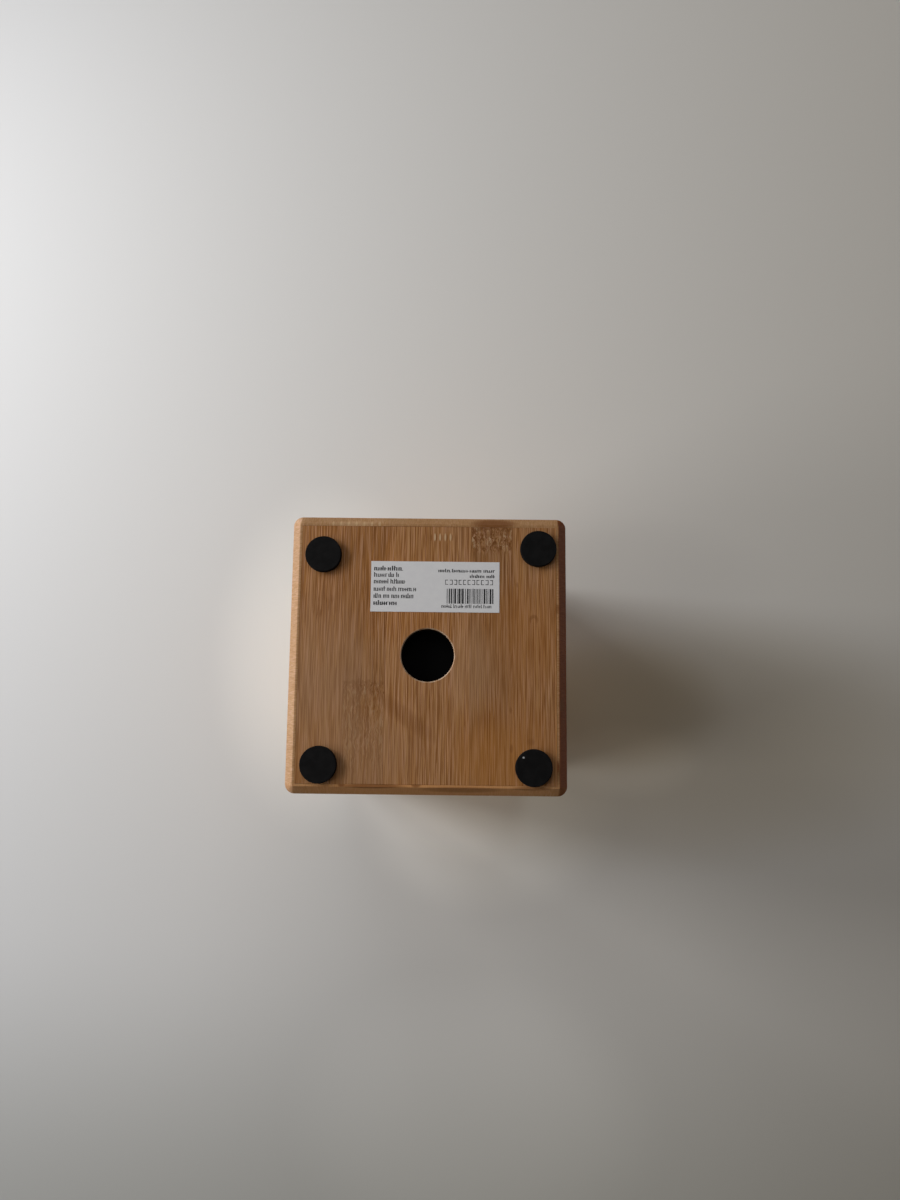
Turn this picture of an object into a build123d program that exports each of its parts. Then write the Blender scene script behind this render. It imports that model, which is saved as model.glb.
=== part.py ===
from build123d import *
import os

# A square bamboo knife block with a lift-out bristle insert and five full-tang knives.
# Frame: +Z up, origin on the standing surface under the middle of the block, -Y is the front.
# All sizes are in millimetres.

# Block body
BLOCK_SIDE = 145.0
BODY_HEIGHT = 247.0
WALL = 5.3
CORNER_RADIUS = 5.0
BASE_CHAMFER = 4.0
RIM_ROUND = 1.2
PANEL_THICKNESS = 8.0
PANEL_SEAM = 0.2
HOLE_DIAMETER = 27.5
HOLE_CENTRE = (0.0, 1.0)
HOLE_CHAMFER = 0.5

# Stick-on feet, set by hand, so their places are a little uneven
FOOT_DIAMETER = 19.0
FOOT_HEIGHT = 3.0
FOOT_ROUND = 0.5
FOOT_CENTRES = {
    "foot_front_left": (-55.5, -51.5),
    "foot_front_right": (57.5, -55.5),
    "foot_back_left": (-55.0, 57.5),
    "foot_back_right": (55.0, 58.0),
}

# Paper label on the underside
LABEL_WIDTH = 67.5
LABEL_DEPTH = 26.8
LABEL_THICKNESS = 0.15
LABEL_CENTRE = (3.4, -35.0)

# Lift-out insert
INSERT_GAP = 0.5
INSERT_WALL = 2.0
INSERT_FLOOR = 2.5
INSERT_CORNER = 3.0
INSERT_BELOW_RIM = 1.5
ROOT_PLATE_THICKNESS = 3.0
BRISTLE_BELOW_RIM = 4.0
BRISTLE_SIDE_GAP = 0.4

# Room round a blade inside the bristles
SLOT_SIDE_GAP = 0.6
SLOT_END_GAP = 0.8
SLOT_TIP_GAP = 4.0

# Knives: the spine stands at spine_x and the edge is blade_height further along +X
EDGE_THICKNESS = 0.3
TIP_WIDTH = 1.0
DISTAL_TAPER = 0.45
BLADE_STATIONS = 12
RIVET_RADIUS = 3.0
RIVET_CLEARANCE = 0.02
RIVET_PLACES = (0.17, 0.5, 0.83)
SERRATION_PITCH = 7.0
SERRATION_RADIUS = 6.0
SERRATION_DEPTH = 1.2

KNIVES = {
    "chef_knife": {
        "blade_length": 200.0, "blade_height": 46.0, "spine_thickness": 2.4,
        "tip_x": 14.0, "spine_start": 0.45, "belly_power": 2.4, "belly_root": 1.3,
        "handle_length": 118.0, "handle_width": 24.0, "handle_thickness": 17.0,
        "bolster_length": 12.0, "spine_x": -52.0, "row_y": 38.0, "serrated": False,
    },
    "bread_knife": {
        "blade_length": 205.0, "blade_height": 30.0, "spine_thickness": 2.2,
        "tip_x": 12.0, "spine_start": 0.8, "belly_power": 12.0, "belly_root": 2.0,
        "handle_length": 118.0, "handle_width": 24.0, "handle_thickness": 17.0,
        "bolster_length": 12.0, "spine_x": 16.0, "row_y": 38.0, "serrated": True,
    },
    "carving_knife": {
        "blade_length": 200.0, "blade_height": 28.0, "spine_thickness": 2.2,
        "tip_x": 8.0, "spine_start": 0.6, "belly_power": 4.0, "belly_root": 1.5,
        "handle_length": 118.0, "handle_width": 23.0, "handle_thickness": 17.0,
        "bolster_length": 12.0, "spine_x": -14.0, "row_y": 4.0, "serrated": False,
    },
    "utility_knife": {
        "blade_length": 120.0, "blade_height": 22.0, "spine_thickness": 1.9,
        "tip_x": 7.0, "spine_start": 0.55, "belly_power": 3.2, "belly_root": 1.4,
        "handle_length": 103.0, "handle_width": 20.0, "handle_thickness": 15.0,
        "bolster_length": 10.0, "spine_x": -44.0, "row_y": -32.0, "serrated": False,
    },
    "paring_knife": {
        "blade_length": 90.0, "blade_height": 20.0, "spine_thickness": 1.7,
        "tip_x": 7.0, "spine_start": 0.5, "belly_power": 2.6, "belly_root": 1.3,
        "handle_length": 96.0, "handle_width": 19.0, "handle_thickness": 14.5,
        "bolster_length": 9.0, "spine_x": 20.0, "row_y": -32.0, "serrated": False,
    },
}

# Handle sections from bolster to butt: place along the grip, width, thickness and the
# spine side's step towards the belly, all as shares of the handle's own sizes
HANDLE_SECTIONS = (
    (0.00, 0.92, 0.90, 0.00),
    (0.16, 0.85, 0.95, 0.02),
    (0.40, 0.92, 1.00, -0.01),
    (0.64, 0.97, 1.00, -0.01),
    (0.84, 0.94, 0.97, 0.03),
    (1.00, 1.06, 0.92, 0.05),
)
HANDLE_EDGE_SHARE = 0.40
BUTT_ROUND = 4.0

PANEL_TOP = FOOT_HEIGHT + PANEL_THICKNESS
RIM_Z = FOOT_HEIGHT + BODY_HEIGHT
INNER_SIDE = BLOCK_SIDE - 2 * WALL
INSERT_SIDE = INNER_SIDE - 2 * INSERT_GAP
INSERT_TOP = RIM_Z - INSERT_BELOW_RIM
INSERT_INNER = INSERT_SIDE - 2 * INSERT_WALL
ROOT_PLATE_Z = PANEL_TOP + INSERT_FLOOR
BRISTLE_BOTTOM = ROOT_PLATE_Z + ROOT_PLATE_THICKNESS
BRISTLE_TOP = RIM_Z - BRISTLE_BELOW_RIM
BRISTLE_SIDE = INSERT_INNER - 2 * BRISTLE_SIDE_GAP


def slab(x_low, x_high, y_low, y_high, z_low, z_high):
    """An upright box given by its two corners."""
    size = (x_high - x_low, y_high - y_low, z_high - z_low)
    middle = ((x_low + x_high) / 2, (y_low + y_high) / 2, (z_low + z_high) / 2)
    return Pos(*middle) * Box(*size)


def rounded_block(side, radius, z_low, z_high):
    """A square upright prism with rounded vertical edges."""
    profile = Pos(0, 0, z_low) * RectangleRounded(side, side, radius)
    return extrude(profile, amount=z_high - z_low)


# ---------------------------------------------------------------- block body


def block_outside():
    """The outer form of the block: rounded corners, chamfered foot, eased rim."""
    body = rounded_block(BLOCK_SIDE, CORNER_RADIUS, FOOT_HEIGHT, RIM_Z)
    body = chamfer(body.faces().sort_by(Axis.Z)[0].edges(), BASE_CHAMFER)
    return fillet(body.faces().sort_by(Axis.Z)[-1].edges(), RIM_ROUND)


def block_walls():
    """Front and back boards run the full width, and the side boards butt between them."""
    outside = block_outside()
    outer = BLOCK_SIDE / 2
    inner = INNER_SIDE / 2
    spans = {
        "front_wall": (-outer, outer, -outer, -inner),
        "back_wall": (-outer, outer, inner, outer),
        "left_wall": (-outer, -inner, -inner, inner),
        "right_wall": (inner, outer, -inner, inner),
    }
    return {name: outside & slab(*span, FOOT_HEIGHT, RIM_Z) for name, span in spans.items()}


def base_panel():
    """The board let in between the walls, with the push-out hole for a finger."""
    half = INNER_SIDE / 2
    panel = slab(-half, half, -half, half, FOOT_HEIGHT, PANEL_TOP)
    panel = chamfer(panel.faces().sort_by(Axis.Z)[0].edges(), PANEL_SEAM)
    middle_z = (FOOT_HEIGHT + PANEL_TOP) / 2
    hole = Pos(*HOLE_CENTRE, middle_z) * Cylinder(HOLE_DIAMETER / 2, 2 * PANEL_THICKNESS)
    panel = panel - hole
    rim = panel.edges().filter_by(GeomType.CIRCLE).sort_by(Axis.Z)[0]
    return chamfer(rim, HOLE_CHAMFER)


def foot(centre):
    """One round stick-on foot with an eased lower edge."""
    disc = Pos(*centre, FOOT_HEIGHT / 2) * Cylinder(FOOT_DIAMETER / 2, FOOT_HEIGHT)
    lower_edge = disc.edges().filter_by(GeomType.CIRCLE).sort_by(Axis.Z)[0]
    return fillet(lower_edge, FOOT_ROUND)


def label():
    """The paper label stuck to the underside."""
    middle_z = FOOT_HEIGHT - LABEL_THICKNESS / 2
    return Pos(*LABEL_CENTRE, middle_z) * Box(LABEL_WIDTH, LABEL_DEPTH, LABEL_THICKNESS)


# ---------------------------------------------------------------- lift-out insert


def insert_tray():
    """The open-topped liner that carries the bristles and lifts out for washing."""
    outer = rounded_block(INSERT_SIDE, INSERT_CORNER, PANEL_TOP, INSERT_TOP)
    inner_radius = INSERT_CORNER - INSERT_WALL
    inner = rounded_block(INSERT_INNER, inner_radius, ROOT_PLATE_Z, INSERT_TOP)
    tray = outer - inner
    return chamfer(tray.faces().sort_by(Axis.Z)[-1].edges(), INSERT_WALL / 4)


def bristle_root_plate():
    """The plate that the bristles grow from."""
    half = INSERT_INNER / 2 - BRISTLE_SIDE_GAP
    return slab(-half, half, -half, half, ROOT_PLATE_Z, BRISTLE_BOTTOM)


def blade_slot(knife):
    """The space that the bristles leave round one blade."""
    half = knife["spine_thickness"] / 2 + SLOT_SIDE_GAP
    x_low = knife["spine_x"] - SLOT_END_GAP
    x_high = knife["spine_x"] + knife["blade_height"] + SLOT_END_GAP
    z_low = BRISTLE_TOP - knife["blade_length"] - SLOT_TIP_GAP
    return slab(x_low, x_high, knife["row_y"] - half, knife["row_y"] + half, z_low, BRISTLE_TOP)


def bristle_bundle():
    """The bundle of bristles as one plain solid, parted round each blade."""
    half = BRISTLE_SIDE / 2
    bundle = slab(-half, half, -half, half, BRISTLE_BOTTOM, BRISTLE_TOP)
    for knife in KNIVES.values():
        bundle = bundle - blade_slot(knife)
    return bundle


# ---------------------------------------------------------------- knives
# Each knife is drawn point down with its heel at z = 0 and its spine along x = 0.


def blade_edge_x(knife, share):
    """Where the cutting edge lies at a share of the way from heel to point."""
    curve = (1 - share ** knife["belly_power"]) ** (1 / knife["belly_root"])
    tip_edge = knife["tip_x"] + TIP_WIDTH
    return tip_edge + (knife["blade_height"] - tip_edge) * curve


def blade_spine_x(knife, share):
    """Where the spine lies: straight from the heel, then dropping to the point."""
    past = max(0.0, share - knife["spine_start"]) / (1 - knife["spine_start"])
    return knife["tip_x"] * past ** 2


def blade_section(knife, share):
    """One wedge-shaped section across the blade."""
    spine_x = blade_spine_x(knife, share)
    edge_x = blade_edge_x(knife, share)
    half_spine = knife["spine_thickness"] * (1 - DISTAL_TAPER * share) / 2
    half_edge = EDGE_THICKNESS / 2
    corners = (
        (spine_x, -half_spine),
        (edge_x, -half_edge),
        (edge_x, half_edge),
        (spine_x, half_spine),
    )
    plane = Plane.XY.offset(-share * knife["blade_length"])
    return plane * make_face(Polyline(*corners, close=True))


def blade_body(knife):
    """The blade itself, closer stations towards the point, with teeth if it has them."""
    shares = [1 - (1 - step / BLADE_STATIONS) ** 1.5 for step in range(BLADE_STATIONS + 1)]
    blade = loft([blade_section(knife, share) for share in shares])
    if knife["serrated"]:
        tooth_count = int(0.9 * knife["blade_length"] / SERRATION_PITCH)
        offset = SERRATION_RADIUS - SERRATION_DEPTH
        for tooth in range(1, tooth_count):
            depth = tooth * SERRATION_PITCH
            edge_x = blade_edge_x(knife, depth / knife["blade_length"])
            scallop = Rot(90, 0, 0) * Cylinder(SERRATION_RADIUS, 2 * knife["spine_thickness"])
            blade = blade - Pos(edge_x + offset, 0, -depth) * scallop
    return blade


def handle_section(knife, place, width_share, thickness_share, step_share):
    """One section across the handle, its spine side kept nearly straight."""
    width = knife["handle_width"] * width_share
    thickness = knife["handle_thickness"] * thickness_share
    x = knife["handle_width"] * step_share + width / 2
    z = knife["bolster_length"] + place * knife["handle_length"]
    radius = HANDLE_EDGE_SHARE * thickness
    return Pos(x, 0, z) * RectangleRounded(width, thickness, radius)


def handle_body(knife):
    """The whole grip as one form, before it is parted into scales and tang."""
    grip = loft([handle_section(knife, *row) for row in HANDLE_SECTIONS])
    return fillet(grip.faces().sort_by(Axis.Z)[-1].edges(), BUTT_ROUND)


def bolster(knife):
    """The collar that swells from the blade's thickness to the handle's."""
    _, width_share, thickness_share, _ = HANDLE_SECTIONS[0]
    width = knife["handle_width"] * width_share
    thickness = knife["handle_thickness"] * thickness_share
    sections = []
    for place, share in ((0.0, 0.32), (0.3, 0.62), (0.7, 0.95), (1.0, 1.0)):
        section_thickness = thickness * share
        radius = HANDLE_EDGE_SHARE * section_thickness
        z = place * knife["bolster_length"]
        sections.append(Pos(width / 2, 0, z) * RectangleRounded(width, section_thickness, radius))
    return loft(sections)


def rivet_pin(knife, place, radius):
    """A pin straight through the handle."""
    x = knife["handle_width"] / 2 - 1.0
    z = knife["bolster_length"] + place * knife["handle_length"]
    return Pos(x, 0, z) * Rot(90, 0, 0) * Cylinder(radius, 2 * knife["handle_thickness"])


def tang_slab(knife):
    """The layer through the handle that the tang fills."""
    half = knife["spine_thickness"] / 2
    reach = 2 * knife["handle_width"]
    top = knife["bolster_length"] + 2 * knife["handle_length"]
    return slab(-reach, reach, -half, half, 0.0, top)


def side_half(knife, side):
    """The half space on one side of the blade's plane, as a large box."""
    reach = 2 * knife["handle_width"]
    top = knife["bolster_length"] + 2 * knife["handle_length"]
    if side > 0:
        return slab(-reach, reach, 0.0, reach, 0.0, top)
    return slab(-reach, reach, -reach, 0.0, 0.0, top)


def knife_parts(name, knife):
    """Blade with bolster and tang, the two scales and the rivets, in their rest place."""
    grip = handle_body(knife)
    tang_layer = tang_slab(knife)
    tang = grip & tang_layer
    scales = grip - tang_layer
    rivets = []
    for place in RIVET_PLACES:
        bore = rivet_pin(knife, place, RIVET_RADIUS)
        tang = tang - bore
        scales = scales - bore
        rivets.append(grip & rivet_pin(knife, place, RIVET_RADIUS - RIVET_CLEARANCE))
    steel = blade_body(knife) + bolster(knife) + tang
    place_in_block = Pos(knife["spine_x"], knife["row_y"], BRISTLE_TOP)
    return {
        f"{name}_blade": place_in_block * steel,
        f"{name}_front_scale": place_in_block * (scales & side_half(knife, -1)),
        f"{name}_back_scale": place_in_block * (scales & side_half(knife, 1)),
        f"{name}_rivets": place_in_block * Compound(children=rivets),
    }


# ---------------------------------------------------------------- assembly


def all_parts():
    parts = dict(block_walls())
    parts["base_panel"] = base_panel()
    for name, centre in FOOT_CENTRES.items():
        parts[name] = foot(centre)
    parts["label"] = label()
    parts["insert_tray"] = insert_tray()
    parts["bristle_root_plate"] = bristle_root_plate()
    parts["bristle_bundle"] = bristle_bundle()
    for name, knife in KNIVES.items():
        parts.update(knife_parts(name, knife))
    return parts


os.makedirs("parts", exist_ok=True)
for node, shape in all_parts().items():
    export_step(shape, f"parts/{node}.step")
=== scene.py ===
import math
import random

import bmesh
import bpy
from mathutils import Matrix, Vector


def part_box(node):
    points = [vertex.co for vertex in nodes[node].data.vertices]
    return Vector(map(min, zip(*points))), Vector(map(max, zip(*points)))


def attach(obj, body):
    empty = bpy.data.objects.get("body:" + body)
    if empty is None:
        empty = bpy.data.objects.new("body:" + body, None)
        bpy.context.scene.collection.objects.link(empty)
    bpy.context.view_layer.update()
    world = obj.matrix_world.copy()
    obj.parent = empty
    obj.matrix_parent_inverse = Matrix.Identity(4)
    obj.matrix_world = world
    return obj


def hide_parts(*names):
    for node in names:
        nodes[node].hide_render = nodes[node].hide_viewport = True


# Looks of the square bamboo knife block, its bristle insert and its knives.
# Everything is in metres in the part's own frame; MM turns millimetres into metres.
MM = 0.001

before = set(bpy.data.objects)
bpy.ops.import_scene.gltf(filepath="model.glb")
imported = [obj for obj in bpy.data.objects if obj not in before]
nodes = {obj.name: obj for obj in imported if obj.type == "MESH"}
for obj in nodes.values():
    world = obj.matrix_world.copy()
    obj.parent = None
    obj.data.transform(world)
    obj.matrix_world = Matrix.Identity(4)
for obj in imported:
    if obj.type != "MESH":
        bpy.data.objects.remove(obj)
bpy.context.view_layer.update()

# ---------------------------------------------------------------- node helpers


def new_material(name):
    """An empty node material with its Principled shader."""
    material = bpy.data.materials.new(name)
    material.use_nodes = True
    tree = material.node_tree
    tree.nodes.clear()
    output = tree.nodes.new("ShaderNodeOutputMaterial")
    shader = tree.nodes.new("ShaderNodeBsdfPrincipled")
    tree.links.new(shader.outputs["BSDF"], output.inputs["Surface"])
    return material, tree, shader


def plug(tree, socket, value):
    """Links a socket, or sets a constant on it."""
    if isinstance(value, bpy.types.NodeSocket):
        tree.links.new(value, socket)
    else:
        socket.default_value = value


def add(tree, kind, settings=None, **inputs):
    """A node with its settings and its inputs, named with _ for a space."""
    node = tree.nodes.new(kind)
    for key, value in (settings or {}).items():
        setattr(node, key, value)
    for key, value in inputs.items():
        plug(tree, node.inputs[key.replace("_", " ")], value)
    return node


def math_node(tree, operation, a, b=0.0, c=0.0, clamp=False):
    """One sum; c is used only by the operation that takes three values."""
    node = add(tree, "ShaderNodeMath", {"operation": operation, "use_clamp": clamp})
    plug(tree, node.inputs[0], a)
    plug(tree, node.inputs[1], b)
    if operation == "MULTIPLY_ADD":
        plug(tree, node.inputs[2], c)
    return node.outputs[0]


def times(tree, a, b):
    return math_node(tree, "MULTIPLY", a, b)


def vector_of(tree, x=0.0, y=0.0, z=0.0):
    return add(tree, "ShaderNodeCombineXYZ", X=x, Y=y, Z=z).outputs[0]


def noise(tree, vector, scale, detail=2.0, roughness=0.5, distortion=0.0):
    """Smooth noise; scale is in waves to the vector's unit."""
    node = add(tree, "ShaderNodeTexNoise", {"noise_dimensions": "3D"}, Vector=vector,
               Scale=scale, Detail=detail, Roughness=roughness, Distortion=distortion)
    return node.outputs["Fac"]


def span(tree, value, low, high, out_low=0.0, out_high=1.0, smooth=True):
    """Maps a value from low..high to out_low..out_high, clamped."""
    kind = "SMOOTHSTEP" if smooth else "LINEAR"
    node = add(tree, "ShaderNodeMapRange", {"interpolation_type": kind}, Value=value)
    plug(tree, node.inputs["From Min"], low)
    plug(tree, node.inputs["From Max"], high)
    plug(tree, node.inputs["To Min"], out_low)
    plug(tree, node.inputs["To Max"], out_high)
    return node.outputs["Result"]


def mix(tree, factor, a, b, blend="MIX"):
    """Mixes two colours."""
    node = tree.nodes.new("ShaderNodeMix")
    node.data_type = "RGBA"
    node.blend_type = blend
    node.clamp_factor = True
    plug(tree, node.inputs["Factor"], factor)
    plug(tree, node.inputs["A"], a if isinstance(a, bpy.types.NodeSocket) else (*a, 1.0))
    plug(tree, node.inputs["B"], b if isinstance(b, bpy.types.NodeSocket) else (*b, 1.0))
    return node.outputs["Result"]


def millimetres(tree):
    """The object's own coordinates in millimetres, as three sockets."""
    place = add(tree, "ShaderNodeTexCoord").outputs["Object"]
    scaled = add(tree, "ShaderNodeVectorMath", {"operation": "SCALE"})
    plug(tree, scaled.inputs[0], place)
    plug(tree, scaled.inputs["Scale"], 1.0 / MM)
    parts = add(tree, "ShaderNodeSeparateXYZ")
    plug(tree, parts.inputs[0], scaled.outputs[0])
    return parts.outputs["X"], parts.outputs["Y"], parts.outputs["Z"]


def bump(tree, shader, height, distance, strength):
    """Fine relief; distance is the relief's depth in metres."""
    node = add(tree, "ShaderNodeBump", Height=height, Distance=distance, Strength=strength)
    tree.links.new(node.outputs["Normal"], shader.inputs["Normal"])


# ---------------------------------------------------------------- bamboo

# Width of one strip in millimetres, and how much slower the grain changes into the board
STRIP_WIDTH = 22.0
DEPTH_SHARE = 0.15
# Sizes in the wood, in millimetres
CANE_SHIFT = 900.0
FIBRE_DRIFT = 6.0
KNOT_SWING = 7.0
RIDGE_ARCH = 9.0
RIDGE_HALF_LENGTH = 1.3
JOINT_WIDTH = 0.22
GRAIN_DEPTH = 0.14
# Where a knot's ridge lies, as a share of its half length, and how dark it is
RIDGE_SHARE = 0.62
RIDGE_STRENGTH = 0.60
WOOD_SPECULAR = 0.14
# Colours of the wood, as linear red, green and blue
PALE_FIBRE = (0.490, 0.258, 0.106)
MIDDLE_FIBRE = (0.400, 0.178, 0.056)
DARK_FIBRE = (0.205, 0.072, 0.018)
ORANGE_FIBRE = (0.430, 0.165, 0.034)
GREY_FIBRE = (0.400, 0.222, 0.118)
PALE_GREY_FIBRE = (0.500, 0.285, 0.150)
GOLD_FIBRE = (0.620, 0.270, 0.062)
CUT_FIBRE = (0.640, 0.440, 0.260)
ROSE_FIBRE = (0.600, 0.330, 0.200)
RED_FIBRE = (0.300, 0.060, 0.012)
# Char and painted shade on the hole's inner wall
CHAR_AND_SHADE = (0.012, 0.006, 0.003)
EDGE_FIBRE = (0.450, 0.240, 0.105)
BACK_EDGE = (0.74, 0.34, 0.118)
# Pale cut wood on the hole's edge, which is also a painted highlight
HOLE_EDGE_AND_HIGHLIGHT = (0.62, 0.46, 0.33)
# What multiplies the wood's colour on a board or an edge
PANEL_TINT = (1.0, 1.0, 1.0)
WALL_TINT = (1.18, 1.42, 1.70)
# Painted light on the lower edge of the left wall and painted shade on that of the right wall
LEFT_EDGE_PAINTED_LIGHT = (1.44, 1.58, 2.00)
RIGHT_EDGE_PAINTED_SHADE = (0.50, 0.23, 0.08)


def spot(tree, a, b, centre_a, centre_b, reach_a, reach_b, soft=0.5):
    """A soft oval mask round a point of two coordinates; soft is the faded share."""
    a = math_node(tree, "DIVIDE", math_node(tree, "SUBTRACT", a, centre_a), reach_a)
    b = math_node(tree, "DIVIDE", math_node(tree, "SUBTRACT", b, centre_b), reach_b)
    reach = math_node(tree, "ADD", times(tree, a, a), times(tree, b, b))
    return span(tree, reach, 1.0, (1.0 - soft) ** 2)


def block_mask(tree, across, along, centre, place, half_width, half_length):
    """A mask over a length of one strip, sharp at its sides and soft at its ends."""
    side = math_node(tree, "ABSOLUTE", math_node(tree, "SUBTRACT", across, centre))
    length = math_node(tree, "ABSOLUTE", math_node(tree, "SUBTRACT", along, place))
    return times(tree, span(tree, side, half_width, half_width - 0.8),
                 span(tree, length, half_length, 0.3 * half_length))


def tinted(tree, colour, tint, mask=1.0):
    """Multiplies a colour by a tint, which may be above 1, where the mask is."""
    return mix(tree, mask, colour, tint, "MULTIPLY")


def bamboo(name, axes, knots, seed, tint, marks):
    """Flat-pressed bamboo: strips side by side, long fibres, dark bundles and wavy knots.

    axes names the object's axes as (across the strips, along the fibres, through the board).
    knots lists (across, along, half width, half length, strength), in millimetres.
    tint multiplies the whole board's colour.
    marks adds what only one board has: it gets the tree, the place and the colour.
    """
    material, tree, shader = new_material(name)
    place = dict(zip("XYZ", millimetres(tree)))
    across, along, depth = (place[axis] for axis in axes)

    depth = times(tree, depth, DEPTH_SHARE)
    # Each strip has a tone of its own and a run of fibres from another cane.
    strip = math_node(tree, "FLOOR", math_node(tree, "DIVIDE", across, STRIP_WIDTH))
    dice = add(tree, "ShaderNodeTexWhiteNoise", {"noise_dimensions": "1D"})
    plug(tree, dice.inputs["W"], math_node(tree, "ADD", strip, seed))
    tone = dice.outputs["Value"]
    run = math_node(tree, "ADD", along, times(tree, tone, CANE_SHIFT))

    # A knot swings the fibres to and fro and has an arched ridge near its lower end.
    ripple = noise(tree, vector_of(tree, across, depth, times(tree, along, 0.45)), 0.42, 2.0, 0.6)
    arched = math_node(tree, "MULTIPLY_ADD", ripple, RIDGE_ARCH,
                       math_node(tree, "SUBTRACT", along, RIDGE_ARCH / 2))
    knot = 0.0
    ridge = 0.0
    for centre, where, half_width, half_length, strength in knots:
        one = block_mask(tree, across, along, centre, where, half_width, half_length)
        knot = math_node(tree, "MAXIMUM", knot, times(tree, one, strength))
        crest = where - RIDGE_SHARE * half_length
        one = block_mask(tree, across, arched, centre, crest, half_width, RIDGE_HALF_LENGTH)
        ridge = math_node(tree, "MAXIMUM", ridge, times(tree, one, strength))
    swing = times(tree, times(tree, math_node(tree, "SUBTRACT", ripple, 0.5), knot), KNOT_SWING)
    drift = noise(tree, vector_of(tree, times(tree, across, 0.3), depth, times(tree, run, 0.1)),
                  0.06)
    bent = math_node(tree, "MULTIPLY_ADD", drift, FIBRE_DRIFT,
                     math_node(tree, "ADD", across, swing))

    def fibre(stretch, scale, detail, roughness, slip):
        """Noise drawn out along the fibres; slip keeps one layer apart from the others."""
        vector = vector_of(tree, math_node(tree, "ADD", bent, slip), depth,
                           times(tree, run, stretch))
        return noise(tree, vector, scale, detail, roughness)

    bands = fibre(0.020, 0.20, 2.0, 0.5, 10.0)
    streaks = fibre(0.006, 1.10, 2.0, 0.7, 40.0)
    lines = fibre(0.005, 2.30, 2.0, 0.7, 90.0)
    dashes = fibre(0.016, 2.10, 1.0, 0.4, 140.0)
    hairs = fibre(0.018, 2.9, 1.0, 0.5, 190.0)
    patch = noise(tree, vector_of(tree, times(tree, across, 0.6), depth, along), 0.017, 1.0)

    colour = mix(tree, span(tree, streaks, 0.38, 0.62, 0.20, 0.80), MIDDLE_FIBRE, PALE_FIBRE)
    colour = mix(tree, span(tree, streaks, 0.40, 0.30, 0.0, 0.20), colour, DARK_FIBRE)
    colour = mix(tree, span(tree, bands, 0.50, 0.64, 0.0, 0.22), colour, ORANGE_FIBRE)
    colour = mix(tree, span(tree, bands, 0.50, 0.38, 0.0, 0.22), colour, GREY_FIBRE)
    colour = mix(tree, span(tree, patch, 0.50, 0.68, 0.0, 0.50), colour, ORANGE_FIBRE)
    colour = mix(tree, span(tree, patch, 0.48, 0.32, 0.0, 0.45), colour, GREY_FIBRE)
    colour = mix(tree, span(tree, lines, 0.52, 0.62, 0.0, 0.62), colour, DARK_FIBRE)
    colour = mix(tree, span(tree, lines, 0.47, 0.38, 0.0, 0.60), colour, PALE_FIBRE)
    colour = mix(tree, span(tree, hairs, 0.53, 0.64, 0.0, 0.72), colour, DARK_FIBRE)
    colour = mix(tree, span(tree, hairs, 0.47, 0.36, 0.0, 0.58), colour, ROSE_FIBRE)
    colour = mix(tree, span(tree, dashes, 0.64, 0.72, 0.0, 0.75), colour, DARK_FIBRE)

    curls = noise(tree, vector_of(tree, math_node(tree, "ADD", across, swing), depth,
                                  times(tree, along, 0.20)), 0.95, 1.0, 0.6, 0.7)
    colour = mix(tree, times(tree, knot, span(tree, curls, 0.50, 0.36, 0.0, 0.80)), colour,
                 DARK_FIBRE)
    colour = mix(tree, times(tree, knot, span(tree, curls, 0.53, 0.66, 0.0, 0.70)), colour,
                 CUT_FIBRE)
    colour = mix(tree, times(tree, ridge, RIDGE_STRENGTH), colour, DARK_FIBRE)

    # Each strip is a little lighter or darker, with a fine dark joint line between strips.
    shade = span(tree, tone, 0.0, 1.0, 0.87, 1.09, smooth=False)
    shade_colour = add(tree, "ShaderNodeCombineColor", Red=shade, Green=shade, Blue=shade)
    colour = mix(tree, 1.0, colour, shade_colour.outputs[0], "MULTIPLY")
    colour = tinted(tree, colour, tint)
    joint = math_node(tree, "PINGPONG", across, STRIP_WIDTH / 2)
    colour = mix(tree, span(tree, joint, JOINT_WIDTH, 0.0, 0.0, 0.50), colour, DARK_FIBRE)
    colour = marks(tree, place, colour)

    tree.links.new(colour, shader.inputs["Base Color"])
    plug(tree, shader.inputs["Roughness"], span(tree, lines, 0.35, 0.65, 0.50, 0.62))
    shader.inputs["Specular IOR Level"].default_value = WOOD_SPECULAR
    ridges = noise(tree, vector_of(tree, across, depth, times(tree, run, 0.01)), 1.8, 1.0)
    bump(tree, shader, ridges, GRAIN_DEPTH * MM, 0.7)
    return material


def blot(tree, place, colour, x, y, reach_x, reach_y, strength, tint, soft=0.5):
    """Tints an oval of the underside."""
    mask = spot(tree, place["X"], place["Y"], x, y, reach_x, reach_y, soft)
    return mix(tree, times(tree, mask, strength), colour, tint)


# Each mark is (x, y, reach x, reach y, strength), in millimetres, and a tone has its colour too.
PANEL_TONES = ((40.0, 48.0, 38.0, 34.0, 0.30, ORANGE_FIBRE),
               (50.0, -8.0, 26.0, 40.0, 0.30, ORANGE_FIBRE),
               (34.0, 56.0, 26.0, 24.0, 0.20, GOLD_FIBRE),
               (-52.0, 10.0, 26.0, 60.0, 0.40, GREY_FIBRE),
               (24.0, 8.0, 15.0, 30.0, 0.35, PALE_GREY_FIBRE),
               (-30.0, 52.0, 30.0, 26.0, 0.35, GREY_FIBRE))
PANEL_FLECKS = ((43.2, 29.0, 0.9, 2.2, 0.40), (43.6, 48.5, 1.1, 3.0, 0.45),
                (46.5, -36.5, 0.9, 1.8, 0.35), (53.6, 45.0, 2.6, 2.4, 0.30))
STAIN_SLANT = -1.13
# Where the hole lies, the radius of its pale edge (partly a painted highlight), and the heights
# over which painted shade and char darken its inner wall, in millimetres
HOLE_MIDDLE = (0.0, 1.0)
HOLE_EDGE_RADIUS = 14.45
HOLE_SHADE_DEPTH = (3.5, 3.9)
NICKS = 5
NICK_START = 0.2
NICK_PITCH = 2.75


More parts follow.
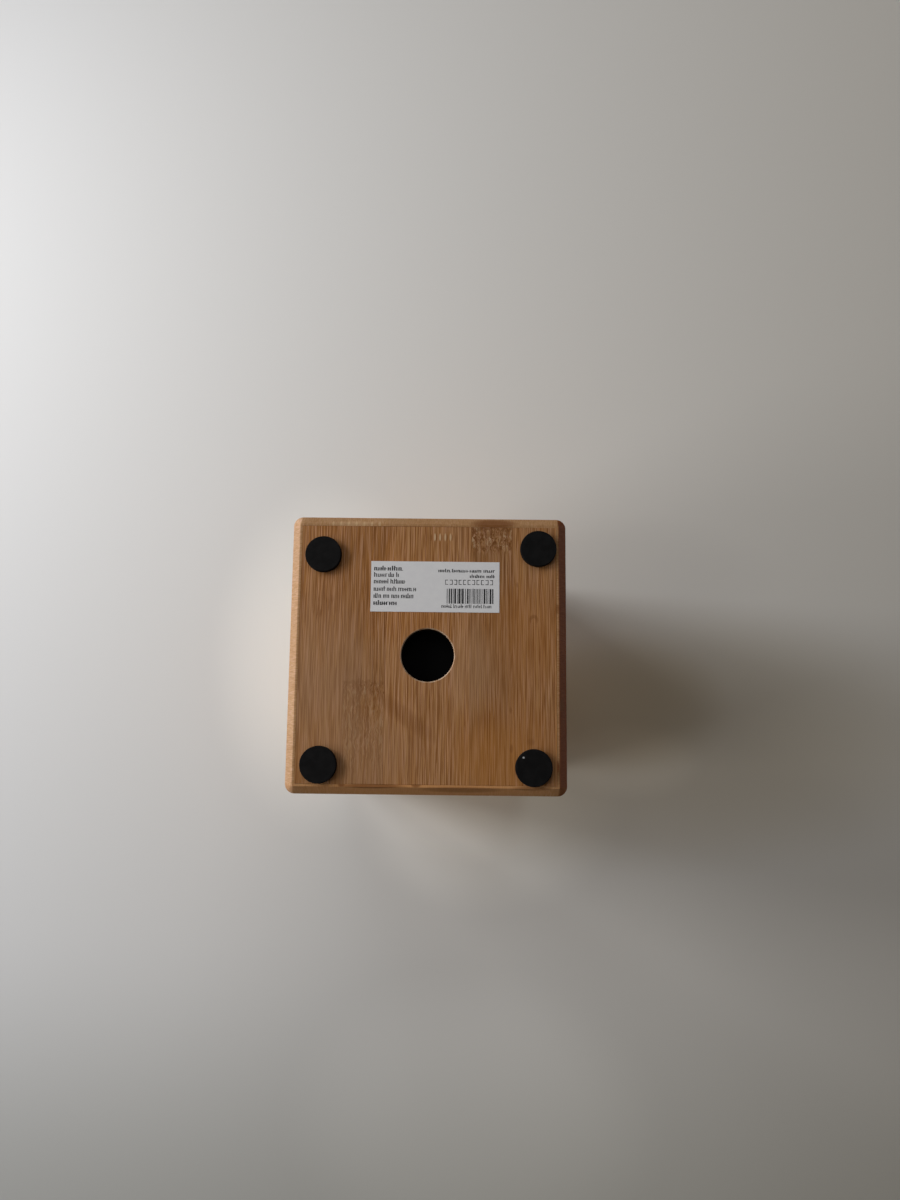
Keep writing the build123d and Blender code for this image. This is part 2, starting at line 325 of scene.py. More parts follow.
def panel_marks(tree, place, colour):
    """What the bottom panel alone shows: tones, a stain, flecks, nicks with painted shadows, and
    the cut hole, its pale edge partly a painted highlight and its inner wall darkened by char and
    painted shade.
    """
    for x, y, reach_x, reach_y, strength, tint in PANEL_TONES:
        colour = blot(tree, place, colour, x, y, reach_x, reach_y, strength, tint, 1.0)
    slant = math_node(tree, "MULTIPLY_ADD", place["Y"], STAIN_SLANT, place["X"])
    stain = spot(tree, slant, place["Y"], -48.0, 32.5, 8.5, 16.0, 1.0)
    colour = mix(tree, times(tree, stain, 0.32), colour, DARK_FIBRE)
    weave = noise(tree, vector_of(tree, place["X"], 0.0, times(tree, place["Y"], 0.11)), 1.1, 1.0)
    cluster = spot(tree, place["X"], place["Y"], -55.0, -24.0, 9.0, 9.0, 0.9)
    colour = mix(tree, times(tree, cluster, span(tree, weave, 0.52, 0.66, 0.0, 0.60)), colour,
                 DARK_FIBRE)
    for x, y, reach_x, reach_y, strength in PANEL_FLECKS:
        colour = blot(tree, place, colour, x, y, reach_x, reach_y, strength, DARK_FIBRE, 0.9)
    arch = spot(tree, place["X"], place["Y"], 55.2, -18.2, 2.7, 3.0, 0.3)
    inside = spot(tree, place["X"], place["Y"], 55.2, -16.8, 1.7, 2.6, 0.4)
    arch = math_node(tree, "SUBTRACT", arch, inside, clamp=True)
    colour = mix(tree, times(tree, arch, 0.45), colour, DARK_FIBRE)
    # The hole's pale cut edge, partly cut wood and partly a painted highlight
    bore = spot(tree, place["X"], place["Y"], *HOLE_MIDDLE, HOLE_EDGE_RADIUS, HOLE_EDGE_RADIUS,
                0.02)
    torn = noise(tree, vector_of(tree, place["X"], place["Y"], 0.0), 0.35, 2.0)
    colour = mix(tree, times(tree, bore, span(tree, torn, 0.38, 0.60, 0.30, 0.90)), colour,
                 HOLE_EDGE_AND_HIGHLIGHT)
    # Painted shade and char darken the hole's inner wall
    inner = span(tree, place["Z"], *HOLE_SHADE_DEPTH, 0.0, 0.95)
    colour = mix(tree, times(tree, bore, inner), colour, CHAR_AND_SHADE)
    # Each nick: a painted shadow beside it and, after the first, pale cut fibre
    for step in range(NICKS):
        x = NICK_START + NICK_PITCH * step
        colour = blot(tree, place, colour, x + 0.9, -61.4, 0.6, 2.2, 0.5, DARK_FIBRE, 0.7)
        if step:
            colour = blot(tree, place, colour, x, -61.6, 0.6, 2.5, 0.95, CUT_FIBRE, 0.5)
    return colour


# Each knot is (across, along, half width, half length, strength), in millimetres.
HALF_STRIP = STRIP_WIDTH / 2
PANEL_KNOTS = [(33.0, -60.5, HALF_STRIP, 9.5, 1.0), (-33.0, 18.5, HALF_STRIP, 5.0, 0.55),
               (-33.0, 38.0, HALF_STRIP, 32.0, 0.34)]


# The height at which the lower edge's colour and its spots fade out, and where the chamfers of
# the left and right walls begin, in millimetres
EDGE_TOP = (8.0, 7.0)
SPOTS_TOP = (12.0, 5.0)
EDGE_SIDE = (67.6, 68.8)


def wall_marks(spots):
    """The sanded lower edge of a wall, with painted light on the left wall's edge and painted
    shade on the right wall's, and its spots.

    Each spot is (x, y, reach x, reach y, strength, tint), in millimetres.
    """

    def marks(tree, place, colour):
        edge = span(tree, place["Z"], *EDGE_TOP)
        colour = mix(tree, times(tree, edge, 0.68), colour, EDGE_FIBRE)
        # Painted light on the left wall's lower edge, painted shade on the right wall's
        left = times(tree, edge, span(tree, place["X"], *(-side for side in EDGE_SIDE)))
        right = times(tree, edge, span(tree, place["X"], *EDGE_SIDE))
        colour = tinted(tree, colour, LEFT_EDGE_PAINTED_LIGHT, left)
        colour = tinted(tree, colour, RIGHT_EDGE_PAINTED_SHADE, right)
        low = span(tree, place["Z"], *SPOTS_TOP)
        for x, y, reach_x, reach_y, strength, tint in spots:
            mask = spot(tree, place["X"], place["Y"], x, y, reach_x, reach_y, 0.6)
            colour = mix(tree, times(tree, times(tree, mask, low), strength), colour, tint)
        return colour

    return marks


FRONT_SPOTS = ([(34.0, -69.2, 14.5, 3.8, 0.85, DARK_FIBRE),
                (-40.0, -68.5, 14.0, 2.2, 0.25, CUT_FIBRE),
                (4.0, -66.9, 62.0, 0.8, 0.45, DARK_FIBRE)]
               + [(-51.0 + 4.1 * step, -68.6, 0.7, 1.9, 0.65, CUT_FIBRE) for step in range(7)])
BACK_SPOTS = [(0.0, 70.0, 90.0, 5.0, 0.60, BACK_EDGE), (-27.0, 68.0, 20.0, 1.5, 0.75, DARK_FIBRE),
              (18.0, 69.4, 24.0, 2.0, 0.45, DARK_FIBRE), (54.0, 68.4, 12.0, 1.4, 0.45, DARK_FIBRE),
              (-43.0, 67.6, 2.2, 1.2, 0.7, DARK_FIBRE), (-5.0, 67.5, 3.0, 1.3, 0.7, DARK_FIBRE)]
RIGHT_SPOTS = [(67.4, -24.0, 1.4, 3.4, 0.60, DARK_FIBRE), (69.5, 26.0, 2.0, 3.8, 0.75, DARK_FIBRE),
               (66.6, 57.5, 1.6, 4.5, 0.85, RED_FIBRE)]
LEFT_SPOTS = [(-66.6, 40.0, 1.0, 4.0, 0.50, DARK_FIBRE), (-66.6, 57.0, 1.2, 6.0, 0.60, DARK_FIBRE),
              (-67.0, 0.0, 0.8, 70.0, 0.25, DARK_FIBRE)]


WALL_KNOT_HEIGHT = (20.0, 235.0)
WALL_KNOT_HALF_LENGTH = (5.0, 12.0)
WALL_KNOT_STRENGTH = (0.28, 0.62)
WALL_HALF_SPAN = 66.0


def wall_knots(seed, half_span):
    """Knots of one wall: one in each strip, at a height of its own."""
    dice = random.Random(seed)
    knots = []
    centre = -half_span + HALF_STRIP
    while centre < half_span:
        knots.append((centre, dice.uniform(*WALL_KNOT_HEIGHT), HALF_STRIP,
                      dice.uniform(*WALL_KNOT_HALF_LENGTH), dice.uniform(*WALL_KNOT_STRENGTH)))
        centre += STRIP_WIDTH
    return knots


def dress(node_name, material):
    """Gives a CAD node its material."""
    slots = nodes[node_name].data.materials
    slots.clear()
    slots.append(material)


dress("base_panel", bamboo("bamboo_panel", "XYZ", PANEL_KNOTS, 3.0, PANEL_TINT, panel_marks))
# Each wall: its node, its axes, the seed of its knots, the seed of its tones, its spots
WALLS = (("front_wall", "XZY", 11, 21.0, FRONT_SPOTS), ("back_wall", "XZY", 12, 35.0, BACK_SPOTS),
         ("left_wall", "YZX", 13, 47.0, LEFT_SPOTS), ("right_wall", "YZX", 14, 59.0, RIGHT_SPOTS))
for wall, axes, knot_seed, tone_seed, spots in WALLS:
    knots = wall_knots(knot_seed, WALL_HALF_SPAN)
    dress(wall, bamboo(f"bamboo_{wall}", axes, knots, tone_seed, WALL_TINT, wall_marks(spots)))

# ---------------------------------------------------------------- plastics, rubber, paper


ROUGHNESS_SPREAD = 0.06
FLECK_COLOUR = (0.55, 0.56, 0.58)
UNLIT_BLACK = (0.0005, 0.0005, 0.0005)
# The height over which the insert's underside turns black, in millimetres
INSERT_UNDERSIDE = (16.0, 13.0)


def speckled(name, colour, light, roughness, grain_scale, depth, specular=0.5, marks=None):
    """A plain moulded or foamed surface with fine grain and faint mottling.

    colour and light are its two tones; depth is the grain's depth in millimetres.
    marks adds what only one material has: it gets the tree, the place and the colour.
    """
    material, tree, shader = new_material(name)
    x, y, z = millimetres(tree)
    place = vector_of(tree, x, y, z)
    mottle = noise(tree, place, 0.22, 3.0, 0.6)
    grain = noise(tree, place, grain_scale, 3.0, 0.6)
    shown = mix(tree, span(tree, mottle, 0.35, 0.70), colour, light)
    shown = mix(tree, span(tree, grain, 0.55, 0.75, 0.0, 0.5), shown, light)
    if marks:
        shown = marks(tree, {"X": x, "Y": y, "Z": z}, shown)
    tree.links.new(shown, shader.inputs["Base Color"])
    plug(tree, shader.inputs["Roughness"],
         span(tree, grain, 0.3, 0.7, roughness - ROUGHNESS_SPREAD, roughness + ROUGHNESS_SPREAD))
    shader.inputs["Specular IOR Level"].default_value = specular
    bump(tree, shader, grain, depth * MM, 0.6)
    return material


def paint_fleck(tree, place, colour):
    """A fleck of white paint on one foot."""
    return blot(tree, place, colour, 49.6, 52.8, 0.75, 0.6, 0.9, FLECK_COLOUR, 0.7)


def dark_underside(tree, place, colour):
    """The underside of the insert, which no light reaches."""
    return mix(tree, span(tree, place["Z"], *INSERT_UNDERSIDE), colour, UNLIT_BLACK)


foot_rubber = speckled("foot_rubber", (0.0032, 0.0030, 0.0033), (0.0068, 0.0064, 0.0068), 0.85,
                       2.4, 0.10, 0.17, paint_fleck)
for foot in ("foot_front_left", "foot_front_right", "foot_back_left", "foot_back_right"):
    dress(foot, foot_rubber)

insert_plastic = speckled("insert_plastic", (0.004, 0.004, 0.004), (0.009, 0.009, 0.009), 0.60,
                          3.0, 0.04, 0.06, dark_underside)
dress("insert_tray", insert_plastic)
dress("bristle_root_plate", insert_plastic)
bristle_nylon = speckled("bristle_nylon", (0.010, 0.010, 0.011), (0.022, 0.022, 0.024), 0.34,
                         1.6, 0.02, 0.5)
handle_black = speckled("handle_black", (0.012, 0.011, 0.011), (0.021, 0.020, 0.019), 0.36, 2.2,
                        0.03, 0.5)
label_paper = speckled("label_paper", (0.81, 0.81, 0.835), (0.84, 0.84, 0.86), 0.70, 4.0, 0.02,
                       0.3)
dress("label", label_paper)
label_ink = speckled("label_ink", (0.020, 0.020, 0.024), (0.045, 0.045, 0.05), 0.65, 3.0, 0.01,
                     0.3)

# ---------------------------------------------------------------- steel


# How far grinding lines are drawn out, and their tones as shares of the steel's colour
LINE_STRETCH = 0.02
LINE_BRIGHT = 1.12
LINE_DULL = 0.86


def ground_steel(name, line_axis, colour, roughness, depth):
    """Steel with fine grinding lines that run along one axis; depth is theirs in millimetres."""
    material, tree, shader = new_material(name)
    place = dict(zip("XYZ", millimetres(tree)))
    stretched = {axis: place[axis] for axis in "XYZ"}
    stretched[line_axis] = times(tree, place[line_axis], LINE_STRETCH)
    vector = vector_of(tree, stretched["X"], stretched["Y"], stretched["Z"])
    lines = noise(tree, vector, 6.0, 4.0, 0.75)
    smear = noise(tree, vector_of(tree, place["X"], place["Y"], place["Z"]), 0.03, 1.0, 0.5)
    bright = tuple(min(1.0, value * LINE_BRIGHT) for value in colour)
    dull = tuple(value * LINE_DULL for value in colour)
    tree.links.new(mix(tree, span(tree, lines, 0.35, 0.65), dull, bright),
                   shader.inputs["Base Color"])
    shader.inputs["Metallic"].default_value = 1.0
    rough = math_node(tree, "MULTIPLY_ADD", span(tree, lines, 0.3, 0.7), 0.08, roughness - 0.04)
    rough = math_node(tree, "MULTIPLY_ADD", span(tree, smear, 0.3, 0.8), 0.03, rough)
    tree.links.new(rough, shader.inputs["Roughness"])
    bump(tree, shader, lines, depth * MM, 0.5)
    return material


blade_steel = ground_steel("blade_steel", "X", (0.68, 0.68, 0.67), 0.42, 0.006)
rivet_steel = ground_steel("rivet_steel", "Z", (0.66, 0.66, 0.65), 0.22, 0.008)

KNIVES = ("chef_knife", "bread_knife", "carving_knife", "utility_knife", "paring_knife")
KNIFE_PARTS = ("blade", "front_scale", "back_scale", "rivets")
for knife in KNIVES:
    dress(f"{knife}_blade", blade_steel)
    dress(f"{knife}_front_scale", handle_black)
    dress(f"{knife}_back_scale", handle_black)
    dress(f"{knife}_rivets", rivet_steel)

# ---------------------------------------------------------------- pieces


def finish_piece(name, mesh_builder, material, body, smooth=True):
    """Turns a bmesh into a piece that rides on a body."""
    mesh = bpy.data.meshes.new(name)
    mesh_builder.to_mesh(mesh)
    mesh_builder.free()
    if smooth:
        mesh.shade_smooth()
    piece = bpy.data.objects.new(name, mesh)
    bpy.context.scene.collection.objects.link(piece)
    mesh.materials.append(material)
    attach(piece, body)
    return piece


# Bristles: upright nylon rods in a square pattern

ROD_RADIUS = 0.95 * MM
ROD_PITCH = 3.05 * MM
ROD_SIDES = 8
ROD_DRIFT = 0.28 * MM
ROD_SHORT = 1.6 * MM
BLADE_CLEARANCE = 0.25 * MM
# How far below the top of the bristles a blade counts as being in them
SLOT_DEPTH = 1.0 * MM
# The share of a rod's height at which its straight wall has one more ring
ROD_WALL_SHARE = 0.75
# A rod's rounded end: distance below the tip, share of the radius
ROD_END = ((1.1 * MM, 0.98), (0.35 * MM, 0.78), (0.0, 0.32))


def blade_boxes():
    """The room that each blade takes up in the bristles: x range, y range."""
    boxes = []
    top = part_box("bristle_bundle")[1].z
    for knife in KNIVES:
        mesh = nodes[f"{knife}_blade"].data
        inside = [vertex.co for vertex in mesh.vertices if vertex.co.z < top - SLOT_DEPTH]
        xs = [co.x for co in inside]
        ys = [co.y for co in inside]
        boxes.append((min(xs), max(xs), min(ys), max(ys)))
    return boxes


def clear_of_blades(x, y, boxes):
    """Moves a rod sideways off a blade it would touch."""
    room = ROD_RADIUS + BLADE_CLEARANCE
    for x_low, x_high, y_low, y_high in boxes:
        if x_low - room < x < x_high + room and y_low - room < y < y_high + room:
            middle = (y_low + y_high) / 2
            return (y_high + room) if y > middle else (y_low - room)
    return y


def add_rod(builder, x, y, base, top):
    """One upright nylon rod with a rounded end."""
    levels = [(base, 1.0), (base + ROD_WALL_SHARE * (top - base), 1.0)]
    levels += [(top - below, radius_share) for below, radius_share in ROD_END]
    rings = []
    for height, radius_share in levels:
        reach = ROD_RADIUS * radius_share
        ring = []
        for side in range(ROD_SIDES):
            angle = 2 * math.pi * side / ROD_SIDES
            ring.append(builder.verts.new((x + reach * math.cos(angle),
                                           y + reach * math.sin(angle), height)))
        rings.append(ring)
    for lower, upper in zip(rings, rings[1:]):
        for side in range(ROD_SIDES):
            follow = (side + 1) % ROD_SIDES
            builder.faces.new((lower[side], lower[follow], upper[follow], upper[side]))
    builder.faces.new(rings[-1])
    builder.faces.new(reversed(rings[0]))


def make_bristles():
    """Rows of rods over the bundle's whole area, a little uneven and parted round the blades."""
    low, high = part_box("bristle_bundle")
    dice = random.Random(5)
    boxes = blade_boxes()
    builder = bmesh.new()
    count = int((high.x - low.x - 2 * ROD_RADIUS - 2 * ROD_DRIFT) / ROD_PITCH)
    start = -ROD_PITCH * count / 2
    for row in range(count + 1):
        for column in range(count + 1):
            x = start + column * ROD_PITCH + dice.uniform(-ROD_DRIFT, ROD_DRIFT)
            y = start + row * ROD_PITCH + dice.uniform(-ROD_DRIFT, ROD_DRIFT)
            y = clear_of_blades(x, y, boxes)
            top = high.z - dice.uniform(0.05, 1.0) * ROD_SHORT
            add_rod(builder, x, y, low.z, top)
    piece = finish_piece("bristles", builder, bristle_nylon, "insert")
    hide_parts("bristle_bundle")


make_bristles()

# Print on the label: rows of strokes that stand for small print, and a block of bars

INK_DEPTH = 0.03 * MM
# The rest is in millimetres; y grows towards the back of the block.
PRINT_LEFT = -28.8
PRINT_RIGHT = 34.0
# Rows of small print: y of the baseline, length, stroke width
ROWS_LEFT = ((-43.4, 13.8, 0.64), (-40.0, 12.7, 0.48), (-36.5, 17.8, 0.46), (-32.5, 22.0, 0.46),
             (-28.8, 20.9, 0.48), (-25.1, 11.7, 0.64))
ROWS_RIGHT = ((-42.8, 29.0, 0.52), (-39.9, 12.4, 0.50))
ROW_HEIGHT_LEFT = 2.5
ROW_HEIGHT_RIGHT = 1.8
WORD_GAP = 0.7
MARK_PITCH = 2.35
MARK_WIDTH = 1.5
LEVEL_WEIGHT = 0.32
UPRIGHT_WEIGHT = 0.34
BAR_WIDTHS = (0.34, 0.34, 0.66, 0.94)
BAR_GAPS = (0.26, 0.42, 0.66)


def add_stroke(builder, x_low, x_high, y_low, y_high, top):
    """A thin rectangle of ink on the label."""
    centre = Vector(((x_low + x_high) / 2 * MM, (y_low + y_high) / 2 * MM, top - INK_DEPTH / 2))
    size = Vector(((x_high - x_low) * MM, (y_high - y_low) * MM, INK_DEPTH, 1.0))
    bmesh.ops.create_cube(builder, size=1.0, matrix=Matrix.Translation(centre)
                          @ Matrix.Diagonal(size))


def add_greek_row(builder, dice, x, y, length, weight, height, top):
    """A row of word-like groups of upright and level strokes, with no letters in it."""
    end = x + length
    while x < end - 0.8:
        word_end = min(end, x + dice.uniform(3.0, 8.5))
        while x < word_end:
            tall = dice.choice((0.68, 0.68, 0.72, 1.0))
            add_stroke(builder, x, x + weight, y - height * tall, y, top)
            if dice.random() < 0.7:
                level = y - height * dice.choice((0.06, 0.34, 0.62))
                add_stroke(builder, x, x + 2.2 * weight, level - 0.18, level + 0.08, top)
            x += weight + dice.uniform(0.30, 0.55)
        x += WORD_GAP


def add_box_row(builder, dice, x, end, top_edge, base_edge, top):
    """A row of widely spaced open marks, each an upright with two short levels."""
    while x < end:
        add_stroke(builder, x, x + MARK_WIDTH, top_edge, top_edge + LEVEL_WEIGHT, top)
        add_stroke(builder, x, x + MARK_WIDTH, base_edge - LEVEL_WEIGHT, base_edge, top)
        side = x if dice.random() < 0.5 else x + 1.2
        add_stroke(builder, side, side + UPRIGHT_WEIGHT, top_edge, base_edge, top)
        x += MARK_PITCH


def add_bars(builder, dice, x, end, top_edge, base_edge, top):
    """A block of upright bars of uneven width."""
    while x < end:
        width = dice.choice(BAR_WIDTHS)
        add_stroke(builder, x, min(x + width, end), top_edge, base_edge, top)
        x += width + dice.choice(BAR_GAPS)


def make_label_print():
    """The generic print: word-like rows, a row of open marks, bars, and a row below them."""
    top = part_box("label")[0].z
    dice = random.Random(29)
    builder = bmesh.new()
    for y, length, weight in ROWS_LEFT:
        add_greek_row(builder, dice, PRINT_LEFT, y, length, weight, ROW_HEIGHT_LEFT, top)
    for y, length, weight in ROWS_RIGHT:
        add_greek_row(builder, dice, PRINT_RIGHT - length, y, length, weight, ROW_HEIGHT_RIGHT,
                      top)
    add_box_row(builder, dice, 8.7, PRINT_RIGHT - 1.0, -38.8, -36.2, top)
    add_bars(builder, dice, 9.6, PRINT_RIGHT, -34.1, -26.2, top)
    add_greek_row(builder, dice, 6.8, -23.9, 26.0, 0.32, 1.9, top)
    finish_piece("label_print", builder, label_ink, "block", smooth=False)


make_label_print()

# ---------------------------------------------------------------- camera

# The camera looks up at the underside, with the front of the block at the top of the picture.
CAMERA_AT = Vector((0.0130, 0.0375, -0.4646))
CAMERA_AIM = Vector((0.0113, -0.0281, 0.0030))
CAMERA_UP = Vector((-0.0108, -0.9902, -0.1391))
LENS_MM = 27.03
SENSOR_MM = 36.0


def look(obj, at, aim, up):
    """Points an object's -Z at aim with its +Y towards up."""
    back = (at - aim).normalized()
    right = up.cross(back).normalized()
    true_up = back.cross(right)
    turn = Matrix((right, true_up, back)).transposed().to_4x4()
    obj.matrix_world = Matrix.Translation(at) @ turn


def make_camera():
    """The main camera, at the angle from which the underside is seen."""
    data = bpy.data.cameras.new("camera")
    data.lens = LENS_MM
    data.sensor_width = SENSOR_MM
    data.clip_start = 0.01
    camera = bpy.data.objects.new("camera", data)
    bpy.context.scene.collection.objects.link(camera)
    look(camera, CAMERA_AT, CAMERA_AIM, CAMERA_UP)
    bpy.context.scene.camera = camera


make_camera()

# ---------------------------------------------------------------- floor, table and light
# The block stands on its feet on the floor. Seen from below, it stands upside down with its
# open end on a table. Each of the two surfaces shows only from its own side.

# Heights and sizes are in metres; where the fades and the table's painted light and shade lie is
# in millimetres.
FLOOR_COLOUR = (0.80, 0.79, 0.775)
FLOOR_FADE = (350.0, 2600.0)
TABLE_COLOUR = (0.80, 0.79, 0.775)
TABLE_FADE = (720.0, 1300.0)
TABLE_COOL = (0.97, 0.99, 1.03)
TABLE_WARM = (1.0, 0.98, 0.94)
# Painted shade that greys the table towards its near end
TABLE_NEAR_SHADE = (0.71, 0.71, 0.68)
# Painted warm shadow, painted light and painted shade in patches of the table round the block
TABLE_WARM_SHADOW = (0.84, 0.80, 0.72)
TABLE_LIT_PATCH = (1.24, 1.24, 1.22)
TABLE_LIGHT = (1.13, 1.13, 1.13)
TABLE_DIM = (0.95, 0.95, 0.95)
TABLE_HEIGHT = 0.235
TABLE_LEAN = 0.06
# Painted shadow and painted light on the table: (x, y, reach x, reach y, tint), in millimetres
TABLE_SPOTS = ((170.0, 45.0, 260.0, 110.0, TABLE_WARM_SHADOW), (140.0, 20.0, 90.0, 60.0, TABLE_WARM_SHADOW),
               (-85.0, -15.0, 100.0, 150.0, TABLE_LIT_PATCH), (40.0, 100.0, 110.0, 85.0, TABLE_LIT_PATCH),
               (28.0, 98.0, 90.0, 45.0, TABLE_LIGHT), (148.0, 62.0, 60.0, 32.0, TABLE_LIGHT),
               (30.0, 330.0, 150.0, 120.0, TABLE_LIGHT), (150.0, -80.0, 120.0, 50.0, TABLE_DIM))
TABLE_SIDES = (-340.0, 340.0)
TABLE_GREY_END = (190.0, 430.0)
FLOOR_HALF_SIZE = 6.0
TABLE_HALF_SIZE = 3.0
FLOOR_ROUGHNESS = 0.7
TABLE_ROUGHNESS = 0.6
STAGE_SPECULAR = 0.2


def table_light_and_shade(tree, colour):
    """Painted light and shade on the table: warmer to the right, painted shade towards its near
    end, painted shadow and painted light round the block.
    """
    place = dict(zip("XYZ", millimetres(tree)))
    side = mix(tree, span(tree, place["X"], *TABLE_SIDES, smooth=False), TABLE_COOL, TABLE_WARM)
    colour = tinted(tree, colour, side)
    # Painted shade towards the table's near end
    colour = tinted(tree, colour, TABLE_NEAR_SHADE, span(tree, place["Y"], *TABLE_GREY_END))
    # Painted shadow and painted light in patches round the block
    for x, y, reach_x, reach_y, tint in TABLE_SPOTS:
        beside = spot(tree, place["X"], place["Y"], x, y, reach_x, reach_y, 1.0)
        colour = tinted(tree, colour, tint, beside)
    return colour


def one_sided(name, colour, roughness, fade, tones=None):
    """A pale matt surface that can be seen through from behind.

    fade gives the distances from the middle, in millimetres, between which it fades away.
    tones changes its colour from place to place, such as the table's painted light and shade: it
    gets the tree and the colour.
    """
    material, tree, shader = new_material(name)
    shader.inputs["Base Color"].default_value = (*colour, 1.0)
    if tones:
        plug(tree, shader.inputs["Base Color"], tones(tree, colour))
    shader.inputs["Roughness"].default_value = roughness
    shader.inputs["Specular IOR Level"].default_value = STAGE_SPECULAR
    behind = add(tree, "ShaderNodeNewGeometry").outputs["Backfacing"]
    x, y, _ = millimetres(tree)
    squares = math_node(tree, "ADD", times(tree, x, x), times(tree, y, y))
    reach = math_node(tree, "SQRT", squares)
    behind = math_node(tree, "MAXIMUM", behind, span(tree, reach, *fade))
    clear = add(tree, "ShaderNodeBsdfTransparent")
    blend = tree.nodes.new("ShaderNodeMixShader")
    plug(tree, blend.inputs[0], behind)
    tree.links.new(shader.outputs[0], blend.inputs[1])
    tree.links.new(clear.outputs[0], blend.inputs[2])
    output = next(node for node in tree.nodes if node.type == "OUTPUT_MATERIAL")
    tree.links.new(blend.outputs[0], output.inputs["Surface"])
    return material


def make_plane(name, half_size, corners_z, material, facing_down):
    """A staged square surface; corners_z gives its height at a place.

    The camera alone sees it: it casts no shadow and shows in no reflection.
    """
    corners = [(-1, -1), (1, -1), (1, 1), (-1, 1)]
    if facing_down:
        corners.reverse()
    builder = bmesh.new()
    ring = []
    for x_side, y_side in corners:
        x = x_side * half_size
        y = y_side * half_size
        ring.append(builder.verts.new((x, y, corners_z(x, y))))
    builder.faces.new(ring)
    mesh = bpy.data.meshes.new(name)
    builder.to_mesh(mesh)
    builder.free()
    mesh.materials.append(material)
    plane = bpy.data.objects.new(name, mesh)
    bpy.context.scene.collection.objects.link(plane)
    plane.visible_shadow = False
    plane.visible_diffuse = False
    plane.visible_glossy = False
    plane.visible_transmission = False


def make_light(name, at, aim, size, power, colour):
    """A soft square light that isn't seen itself."""
    data = bpy.data.lights.new(name, "AREA")
    data.shape = "SQUARE"
    data.size = size
    data.energy = power
    data.color = colour
    light = bpy.data.objects.new(name, data)
    bpy.context.scene.collection.objects.link(light)
    look(light, at, aim, Vector((0, 1, 0)))
    light.visible_camera = False
    return light


def polar(azimuth, elevation, distance, centre):
    """A place at a direction from a centre; azimuth 0 is -Y and 90 is +X."""
    turn = math.radians(azimuth)
    rise = math.radians(elevation)
    direction = Vector((math.sin(turn) * math.cos(rise), -math.cos(turn) * math.cos(rise),
                        math.sin(rise)))
    return centre + direction * distance


# Between these heights of the sky, as shares of its radius, the glow gives way to the dome.
DOME_RISE = (0.10, 0.75)


def make_world(backdrop, dome, glow):
    """A pale backdrop for the camera, a soft dome from above and a faint warm glow below."""
    world = bpy.data.worlds.new("world")
    world.use_nodes = True
    tree = world.node_tree
    tree.nodes.clear()
    output = tree.nodes.new("ShaderNodeOutputWorld")
    height = add(tree, "ShaderNodeSeparateXYZ")
    tree.links.new(add(tree, "ShaderNodeTexCoord").outputs["Generated"], height.inputs[0])
    light = mix(tree, span(tree, height.outputs["Z"], *DOME_RISE), glow, dome)
    lit = add(tree, "ShaderNodeBackground", Color=light)
    blend = tree.nodes.new("ShaderNodeMixShader")
    tree.links.new(add(tree, "ShaderNodeLightPath").outputs["Is Camera Ray"], blend.inputs[0])
    tree.links.new(lit.outputs[0], blend.inputs[1])
    seen = add(tree, "ShaderNodeBackground", Color=(*backdrop, 1.0))
    tree.links.new(seen.outputs[0], blend.inputs[2])
    tree.links.new(blend.outputs[0], output.inputs["Surface"])
    bpy.context.scene.world = world


def floor_z(x, y):
    """The height of the floor, which is level and passes under the feet."""
    return 0.0


def table_z(x, y):
    """The height of the table, which leans a little against the block's own axes."""
    return TABLE_HEIGHT - TABLE_LEAN * x + TABLE_LEAN * y


make_plane("floor", FLOOR_HALF_SIZE, floor_z,
           one_sided("floor", FLOOR_COLOUR, FLOOR_ROUGHNESS, FLOOR_FADE), False)
make_plane("table", TABLE_HALF_SIZE, table_z,
           one_sided("table", TABLE_COLOUR, TABLE_ROUGHNESS, TABLE_FADE, table_light_and_shade), True)

BASE_CENTRE = Vector((0.0, 0.0, 0.12))
TOP_CENTRE = Vector((0.0, 0.0, 0.20))
DAYLIGHT = (1.0, 0.995, 0.985)
WARM_WHITE = (1.0, 0.95, 0.88)
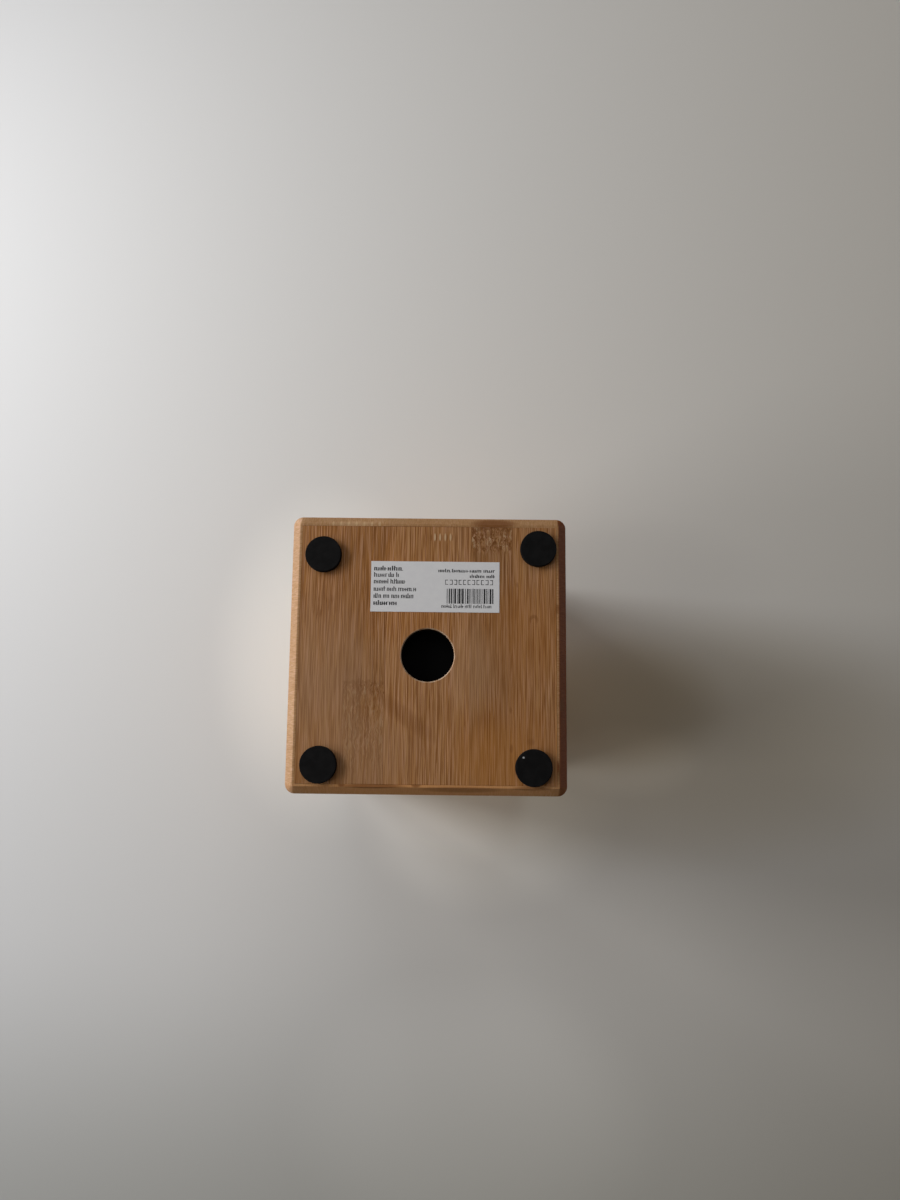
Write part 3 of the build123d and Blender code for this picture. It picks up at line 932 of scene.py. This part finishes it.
# Lights: azimuth and elevation in degrees, distance and size in metres, watts, colour.
# Those below the horizon light the underside, the others the block as it stands.
LIGHTS_BELOW = {
    "window_left": (286, -30, 1.3, 0.32, 5.2, DAYLIGHT),
    "window_near": (305, -25, 0.85, 0.25, 1.6, DAYLIGHT),
    "window_back": (256, -30, 1.3, 0.32, 2.3, DAYLIGHT),
    "sky_front": (0, -45, 2.0, 1.2, 5.6, DAYLIGHT),
    "room_left": (268, -48, 1.9, 1.1, 2.2, WARM_WHITE),
    "room_below": (330, -85, 1.6, 1.2, 0.7, WARM_WHITE),
}
LIGHTS_ABOVE = {
    "key": (330, 48, 1.9, 1.3, 20.0, DAYLIGHT),
    "fill": (75, 35, 2.2, 1.8, 14.0, DAYLIGHT),
    "rim": (200, 50, 2.2, 1.4, 12.0, DAYLIGHT),
}
for centre, lights in ((BASE_CENTRE, LIGHTS_BELOW), (TOP_CENTRE, LIGHTS_ABOVE)):
    for name, (azimuth, elevation, distance, size, power, colour) in lights.items():
        make_light(name, polar(azimuth, elevation, distance, centre), centre, size, power, colour)


def light_only(light, names):
    """Lets a light fall on the named nodes alone."""
    lit = bpy.data.collections.new(f"{light.name}_lit")
    for name in names:
        lit.objects.link(nodes[name])
    light.light_linking.receiver_collection = lit


# What the pale floor and the pale room throw back, which shows in the steel of the knives:
# name, place, aim, size in metres and watts
FLOOR_BOUNCE = ("floor_bounce", Vector((0.0, 0.0, -0.02)), Vector((0.0, 0.0, 1.0)), 3.0, 26.0)
ROOM_FRONT = ("room_front", polar(20, 4, 2.4, TOP_CENTRE), TOP_CENTRE, 2.2, 9.0)
ROOM_BACK = ("room_back", polar(200, 4, 2.4, TOP_CENTRE), TOP_CENTRE, 2.2, 7.0)
knife_nodes = [f"{knife}_{part}" for knife in KNIVES for part in KNIFE_PARTS]
for name, at, aim, size, power in (FLOOR_BOUNCE, ROOM_FRONT, ROOM_BACK):
    light_only(make_light(name, at, aim, size, power, DAYLIGHT), knife_nodes)

BACKDROP = (0.72, 0.715, 0.70)
DOME = (0.72, 0.72, 0.72)
GLOW = (0.045, 0.042, 0.038)
make_world(BACKDROP, DOME, GLOW)

scene = bpy.context.scene
scene.view_settings.view_transform = "Standard"
scene.view_settings.look = "None"
scene.cycles.max_bounces = 6
scene.cycles.transparent_max_bounces = 12
